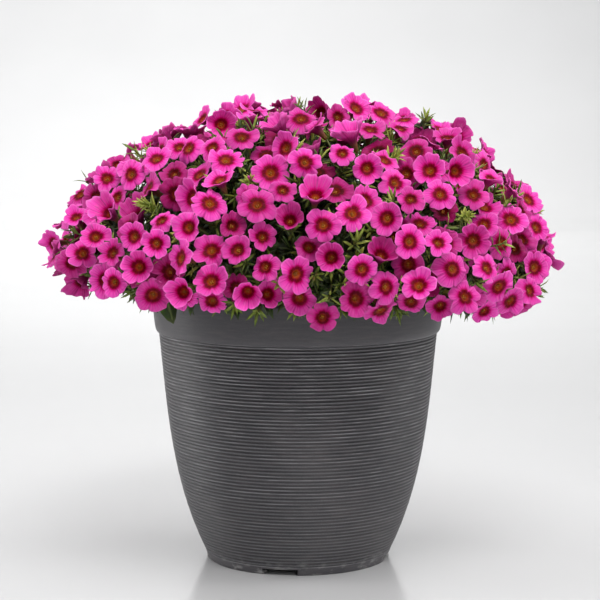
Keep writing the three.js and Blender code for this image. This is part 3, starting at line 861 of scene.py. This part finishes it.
class Finish:
    """A material's nodes, with short calls to add them."""

    def __init__(self, name):
        self.material = bpy.data.materials.new(name)
        self.material.use_nodes = True
        self.tree = self.material.node_tree
        self.shader = self.tree.nodes["Principled BSDF"]

    def plug(self, value, socket):
        if isinstance(value, bpy.types.NodeSocket):
            self.tree.links.new(value, socket)
        else:
            socket.default_value = value

    def set(self, **values):
        for name, value in values.items():
            self.plug(value, self.shader.inputs[name.replace("_", " ")])

    def node(self, kind, *values, **settings):
        """A new node with its settings, whose first inputs take the values."""
        node = self.tree.nodes.new("ShaderNode" + kind)
        for name, setting in settings.items():
            setattr(node, name, setting)
        for value, socket in zip(values, node.inputs):
            self.plug(value, socket)
        return node

    def math(self, operation, *values):
        return self.node("Math", *values, operation=operation).outputs[0]

    def add(self, a, b):
        return self.math("ADD", a, b)

    def times(self, a, b):
        return self.math("MULTIPLY", a, b)

    def swing(self, value, amount):
        """A noise's value that swings about zero instead, by half of amount at most."""
        return self.times(self.math("SUBTRACT", value, 0.5), amount)

    def attribute(self, name, output):
        return self.node("Attribute", attribute_name=name).outputs[output]

    def parts(self, vector_socket):
        return self.node("SeparateXYZ", vector_socket).outputs

    def joined(self, x, y, z):
        return self.node("CombineXYZ", x, y, z).outputs[0]

    def place(self, stretch=(1, 1, 1)):
        node = self.node("Mapping", self.node("TexCoord").outputs["Object"])
        node.inputs["Scale"].default_value = stretch
        return node.outputs[0]

    def noise(self, scale, detail=3.0, stretch=(1, 1, 1), at=None):
        node = self.node("TexNoise", at or self.place(stretch))
        node.inputs["Scale"].default_value = scale
        node.inputs["Detail"].default_value = detail
        return node.outputs["Fac"]

    def ramp(self, value, *stops):
        """Colours along a value. Each stop is a position and the screen values of its colour."""
        node = self.node("ValToRGB", value)
        elements = node.color_ramp.elements
        while len(elements) < len(stops):
            elements.new(0.5)
        for element, (position, *screen) in zip(elements, stops):
            element.position = position
            element.color = (*colour(*screen), 1)
        return node.outputs[0]

    def range(self, value, low, high, to_low=0.0, to_high=1.0):
        return self.node("MapRange", value, low, high, to_low, to_high).outputs[0]

    def blend(self, share, a, b, kind="MIX"):
        node = self.node("Mix", share, data_type="RGBA", blend_type=kind)
        for value, socket in ((a, node.inputs[6]), (b, node.inputs[7])):
            self.plug((*value, 1) if isinstance(value, tuple) else value, socket)
        return node.outputs[2]

    def bump(self, height, strength, distance):
        node = self.node("Bump", strength, distance)
        self.plug(height, node.inputs["Height"])
        self.set(Normal=node.outputs[0])


def colour(red, green, blue):
    """A colour that is given by its screen values, from 0 to 255."""

    def linear(value):
        value /= 255
        return value / 12.92 if value <= 0.04045 else ((value + 0.055) / 1.055) ** 2.4

    return linear(red), linear(green), linear(blue)


def petal_finish():
    f = Finish("petal")
    share, across, front = f.parts(f.attribute("place", "Vector"))
    tone = f.attribute("tone", "Fac")
    # The dark eye is round, so it takes a larger share of the lobes where they are short, at their seams.
    rounding = f.times(f.math("POWER", across, 3.0), -0.035)
    reach = f.add(f.add(share, f.swing(f.noise(700), 0.09)), rounding)
    # The last stop pales the rim, a painted highlight along the petals' edges.
    face = f.ramp(
        reach, (0.10, 162, 90, 0), (0.20, 152, 56, 0), (0.25, 128, 18, 0), (0.30, 98, 0, 4),
        (0.40, 112, 0, 20), (0.46, 180, 2, 86), (0.56, 228, 38, 154), (0.72, 242, 70, 182),
        (0.92, 246, 86, 190), (1.0, 252, 124, 208),
    )
    back = f.ramp(reach, (0.12, 140, 110, 56), (0.3, 134, 32, 88), (0.6, 184, 50, 136), (1.0, 226, 96, 176))
    base = f.blend(front, back, face)
    # Fine veins fan out from the throat, three on each side of a midline.
    wave = f.add(f.times(across, 3.0), f.times(f.noise(420), 0.35))
    vein = f.range(f.math("PINGPONG", wave, 0.5), 0.0, 0.15, 1.0, 0.0)
    fade = f.range(share, 0.4, 0.95, 0.8, 0.15)
    base = f.blend(f.times(vein, fade), base, colour(150, 6, 88))
    # Painted shade darkens the creases along the seams between the lobes.
    seam_shade = f.times(f.range(across, 0.84, 1.0), f.range(share, 0.4, 0.7, 0.1, 0.5))
    base = f.blend(seam_shade, base, colour(150, 10, 92))
    # Pale streaks run from the eye to the edge.
    streak = f.noise(1.0, at=f.joined(f.times(share, 2.5), f.times(across, 8.0), f.times(tone, 90.0)))
    past_eye = f.range(share, 0.52, 0.66)
    pale = f.times(f.range(streak, 0.48, 0.66, 0.0, 0.35), past_eye)
    base = f.blend(pale, base, colour(250, 130, 206))
    # Flowers differ from pale to deep, partly at random and partly as painted shade that darkens the flowers
    # lying deeper in the dome, and each is mottled.
    deep_tint_and_shade = f.blend(1.0, base, colour(150, 72, 114), "MULTIPLY")
    base = f.blend(f.range(tone, 0.25, 0.8), base, deep_tint_and_shade)
    patch = f.times(f.range(f.noise(260), 0.45, 0.8, 0.0, 0.22), past_eye)
    f.set(Base_Color=f.blend(patch, base, colour(236, 92, 176)))
    f.set(Roughness=f.range(f.noise(900), 0.3, 0.7, 0.45, 0.62), Specular_IOR_Level=0.08)
    f.set(Subsurface_Weight=0.14, Subsurface_Radius=(1.0, 0.3, 0.6), Subsurface_Scale=0.003)
    f.bump(f.add(f.times(vein, -0.6), f.noise(1500)), 0.25, 0.0003)
    return f.material


def anther_finish():
    f = Finish("anther")
    grain = f.add(f.attribute("tone", "Fac"), f.times(f.noise(3000), 0.4))
    f.set(Base_Color=f.ramp(grain, (0.2, 126, 62, 2), (1.1, 166, 98, 8)), Roughness=0.7)
    f.bump(f.noise(4000), 0.4, 0.0002)
    return f.material


def leaf_finish():
    f = Finish("leaf")
    along, edge, under = f.parts(f.attribute("place", "Vector"))
    age = f.add(f.attribute("tone", "Fac"), f.swing(f.noise(380), 0.3))
    green = f.ramp(age, (0.0, 22, 33, 12), (0.4, 50, 65, 23), (0.7, 114, 131, 42), (1.0, 194, 201, 94))
    rib = f.range(edge, 0.0, 0.22, 0.45, 0.0)
    green = f.blend(rib, green, colour(150, 168, 92))
    green = f.blend(f.range(along, 0.75, 1.0, 0.0, 0.25), green, colour(150, 150, 70))
    green = f.blend(f.times(under, 0.4), green, colour(130, 150, 100))
    f.set(Base_Color=green, Roughness=f.range(f.noise(600), 0.3, 0.7, 0.42, 0.6), Specular_IOR_Level=0.4)
    f.set(Subsurface_Weight=0.1, Subsurface_Radius=(0.6, 1.0, 0.2), Subsurface_Scale=0.0015)
    f.bump(f.add(f.noise(1400), f.times(rib, -1.0)), 0.35, 0.0003)
    return f.material


def stem_finish():
    f = Finish("stem")
    age = f.add(f.attribute("tone", "Fac"), f.swing(f.noise(300), 0.5))
    f.set(Base_Color=f.ramp(age, (0.1, 92, 74, 44), (0.5, 92, 108, 46), (0.9, 134, 150, 72)))
    f.set(Roughness=f.range(f.noise(500, stretch=(1, 1, 0.2)), 0.3, 0.7, 0.5, 0.75))
    f.bump(f.noise(1600), 0.4, 0.0003)
    return f.material


def pot_finish():
    f = Finish("pot_plastic")
    mark = f.parts(f.attribute("place", "Vector"))[0]
    fine = f.noise(900, 4, (1, 1, 2))
    # Painted shade darkens the grooves and a painted highlight pales the crests, with fine mottling.
    painted_rib_light = f.add(mark, f.swing(fine, 0.7))
    ribbed = f.ramp(painted_rib_light, (0.1, 40, 39, 42), (0.55, 66, 65, 68), (1.0, 102, 101, 105))
    # Painted highlights run along the crests in broken streaks.
    crest_glints = f.times(f.range(mark, 0.75, 0.98), f.range(f.noise(34, 6, (1, 1, 16)), 0.5, 0.6))
    ribbed = f.blend(f.times(crest_glints, f.range(mark, 1.4, 1.6, 0.85, 0.0)), ribbed, colour(160, 159, 162))
    smooth = f.ramp(fine, (0.25, 64, 62, 66), (0.75, 76, 74, 78))
    base = f.blend(f.range(mark, 1.4, 1.6), ribbed, smooth)
    base = f.blend(f.range(f.noise(60, 5, (1, 1, 9)), 0.45, 0.8, 0.0, 0.3), base, colour(104, 97, 96))
    # Dust dulls it in patches, and the foot is scuffed pale where the pot has been set down.
    base = f.blend(f.range(f.noise(14, 4), 0.5, 0.75, 0.0, 0.2), base, colour(122, 116, 116))
    low = f.range(f.parts(f.place())[2], 0.003, 0.016, 1.0, 0.0)
    scuff = f.times(low, f.range(f.noise(110, 5, (1, 1, 2)), 0.52, 0.68, 0.0, 0.7))
    f.set(Base_Color=f.blend(scuff, base, colour(150, 149, 148)))
    f.set(Roughness=f.range(fine, 0.3, 0.7, 0.36, 0.5), Specular_IOR_Level=0.5)
    f.bump(f.noise(2200), 0.25, 0.0003)
    return f.material


def soil_finish():
    f = Finish("soil")
    grain = f.noise(420, 5)
    patch = f.noise(60)
    earth = f.ramp(grain, (0.3, 22, 15, 11), (0.55, 52, 38, 28), (0.8, 88, 66, 48))
    f.set(Base_Color=f.blend(f.range(patch, 0.4, 0.7, 0.0, 0.5), earth, colour(38, 28, 22)))
    f.set(Roughness=f.range(patch, 0.3, 0.7, 0.8, 0.98))
    f.bump(grain, 0.8, 0.001)
    return f.material


def perlite_finish():
    f = Finish("perlite")
    grain = f.noise(1500, 4)
    f.set(Base_Color=f.ramp(grain, (0.3, 150, 140, 124), (0.7, 212, 206, 196)), Roughness=0.9)
    f.bump(grain, 0.6, 0.0004)
    return f.material


finishes = {
    "petal": petal_finish(),
    "anther": anther_finish(),
    "leaf": leaf_finish(),
    "stem": stem_finish(),
    "pot": pot_finish(),
    "soil": soil_finish(),
    "perlite": perlite_finish(),
}

# ---- Pieces ----


def ready(piece, node):
    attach(piece, "root")
    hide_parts(node)


def smooth_through(points, count):
    """Points on a smooth curve through others."""
    points = np.array(points)
    ends = [2 * points[0] - points[1], 2 * points[-1] - points[-2]]
    full = np.concatenate([ends[:1], points, ends[1:]])
    curve = []
    for at in np.linspace(0, len(points) - 1.0001, count):
        k, t = int(at), at % 1
        a, b, c, d = full[k : k + 4]
        curve.append(0.5 * (2 * b + (c - a) * t + (2 * a - 5 * b + 4 * c - d) * t**2
                            + (3 * b - a - 3 * c + d) * t**3))
    return np.array(curve)


def grow_twig(end, youngest, stems, faces, foliage, draw):
    """A leafy twig from the nearest stem to a point, as far as the flowers leave room for it."""
    own = nearest_stem(end, stems)
    start = mix(stems[own]["head"], stems[own]["base"], between(draw, 0.2, 0.9))
    knee = mix(start, end, 0.5) + scatter(draw) * TWIG_BOW + up(TWIG_LIFT)
    points = clear_of_flowers(smooth_through([start, knee, end], TWIG_POINTS), faces)
    if len(points) >= SHORTEST_TWIG:
        leafy_twig(foliage[own], points, youngest, faces, draw)


def grow_stem(shells, stem, draw):
    bend = mix(stem["head"], stem["base"], 0.6) + scatter(draw) * 6 * MM
    points = smooth_through([stem["foot"], stem["head"], bend, stem["base"], stem["tip"]], 14)
    tube(shells, points, np.linspace(2.8, 1.2, 14) * MM, 8, between(draw, 0.1, 0.4))


def grow_twigs(stems, faces, foliage, draw):
    """Leafy twigs all over the dome, under it and along its fringe."""
    ends = [(dome_point(way, between(draw, *TWIG_INSET) * MM), TWIG_TONE) for way in dome_lattice(TWIGS)]
    for way in dome_lattice(UNDER_TWIGS):
        if way[2] < UNDER_HEIGHT:
            ends.append((dome_point(way, between(draw, *UNDER_INSET) * MM), SHADED_INNER_TONE))
    for k in range(FRINGE_TWIGS):
        angle = TURN * (k + draw()) / FRINGE_TWIGS
        low = dome_point(around(angle, LOWEST_RIM, LOWEST), 0.0)[2] + between(draw, -4, 14) * MM
        ends.append((around(angle, between(draw, *FRINGE_REACH), max(low, FRINGE_FOOT)), FRINGE_TONE))
    for end, youngest in ends:
        grow_twig(end, youngest, stems, faces, foliage, draw)


def grow_shoots(stems, foliage, draw):
    for i, stem in enumerate(stems):
        start = mix(stem["base"], stem["tip"], 0.2)
        for points in shoots_of(f"leafy_stem_{i + 1:02d}"):
            heart = shoot(foliage[i], points, draw)
            knee = mix(start, heart, 0.5) - up(2 * MM)
            tube(foliage[i], smooth_through([start, knee, heart], 6), np.full(6, TWIG_RADIUS), 5, 0.6)


def hang_leaf(stems, foliage):
    """The broad old leaf that hangs over the pot's band, with its stalk."""
    root = vector(*HANGING_LEAF)
    own = nearest_stem(root, stems)
    start = mix(stems[own]["head"], stems[own]["base"], 0.5)
    knee = mix(start, root, 0.6) + up(4 * MM)
    tube(foliage[own], smooth_through([start, knee, root], 7), np.full(7, TWIG_RADIUS), 5, 0.5)
    way, face = unit(vector(0.3, -0.15, -1)), vector(-0.3, -1, 0)
    leaf(foliage[own], root, way, face, 27 * MM, 16 * MM, -0.06, 0.35)


def grow_crown(stems, faces, foliage, draw):
    """Twigs that fill the top of the dome, between the flowers."""
    for way in dome_lattice(CROWN_TWIGS):
        if way[2] > CROWN_FOOT:
            end = dome_point(way, between(draw, *CROWN_INSET) * MM)
            grow_twig(end, SHADED_INNER_TONE, stems, faces, foliage, draw)


def build_plant():
    stems = lay_stems()
    flowers = lay_flowers(stems)
    faces = {key: np.array([flower[key] for flower in flowers]) for key in ("centre", "axis")}
    draw = make_random(PLANT_SEED)
    foliage, blooms, stalks = ([Shells() for _ in stems] for _ in range(3))
    for stem, shells in zip(stems, foliage):
        grow_stem(shells, stem, draw)
    grow_twigs(stems, faces, foliage, draw)
    grow_shoots(stems, foliage, draw)
    hang_leaf(stems, foliage)
    for flower in flowers:
        flower_parts(blooms[flower["own"]], stalks[flower["own"]], flower, draw)
    grow_crown(stems, faces, foliage, draw)
    for i in range(len(stems)):
        for kind, shells, used, slot, node in (
            ("leaves", foliage[i], ("leaf", "stem", "petal"), "foliage", "leafy_stem"),
            ("blooms", blooms[i], ("petal", "anther"), "petals", "flower_spray"),
            ("stalks", stalks[i], ("leaf", "stem"), "foliage", "flower_spray"),
        ):
            name = f"{kind}_{i + 1:02d}"
            ready(added(name, shells.mesh(name, *used)), f"{node}_{i + 1:02d}")


ready(build_pot(), "pot")
ready(build_soil(), "soil")
build_plant()

# ---- Floor, light and camera ----


def build_stage():
    """A pale floor that sweeps up behind the object."""
    profile = [(SWEEP_FRONT, 0.0), (0.0, 0.0), (SWEEP_START, 0.0)]
    for k in range(1, SWEEP_STEPS + 1):
        angle = radians(90) * k / SWEEP_STEPS
        profile.append((SWEEP_START + SWEEP_RADIUS * sin(angle), SWEEP_RADIUS * (1 - cos(angle))))
    profile.append((SWEEP_START + SWEEP_RADIUS, SWEEP_TOP))
    points = [(x, y, z) for y, z in profile for x in (-SWEEP_HALF, SWEEP_HALF)]
    faces = [(2 * k, 2 * k + 1, 2 * k + 3, 2 * k + 2) for k in range(len(profile) - 1)]
    mesh = bpy.data.meshes.new("sweep")
    mesh.from_pydata(points, [], faces)
    mesh.polygons.foreach_set("use_smooth", [True] * len(faces))
    f = Finish("sweep")
    f.set(Base_Color=f.blend(f.range(f.noise(3), 0.3, 0.7), (0.74, 0.74, 0.74), (0.76, 0.76, 0.76)))
    f.set(Roughness=0.5, Specular_IOR_Level=0.3, Coat_Weight=1.0, Coat_Roughness=0.16, Coat_IOR=1.85)
    mesh.materials.append(f.material)
    added("sweep", mesh)


def softbox(name, place, target, size, power):
    light = bpy.data.lights.new(name, "AREA")
    light.shape = "RECTANGLE"
    light.size, light.size_y = size
    light.energy = power
    lamp = added(name, light)
    lamp.location = place
    lamp.rotation_euler = (Vector(target) - Vector(place)).to_track_quat("-Z", "Y").to_euler()
    lamp.visible_camera = False
    lamp.visible_glossy = name != NO_GLOSS


def build_camera():
    data = bpy.data.cameras.new("camera")
    data.sensor_width = 36
    data.lens = CAMERA_LENS
    data.shift_x = CAMERA_SHIFT
    data.clip_start = 0.01
    camera = added("camera", data)
    camera.location = CAMERA_PLACE
    camera.rotation_euler = (radians(90 - CAMERA_DIP), 0, 0)
    bpy.context.scene.camera = camera


def build_world():
    world = bpy.data.worlds.new("studio")
    world.use_nodes = True
    background = world.node_tree.nodes["Background"]
    background.inputs["Color"].default_value = (0.95, 0.96, 1.0, 1)
    background.inputs["Strength"].default_value = ROOM_LIGHT
    bpy.context.scene.world = world


build_stage()
for box in SOFTBOXES:
    softbox(*box)
build_world()
build_camera()
bpy.context.scene.view_settings.view_transform = "Standard"
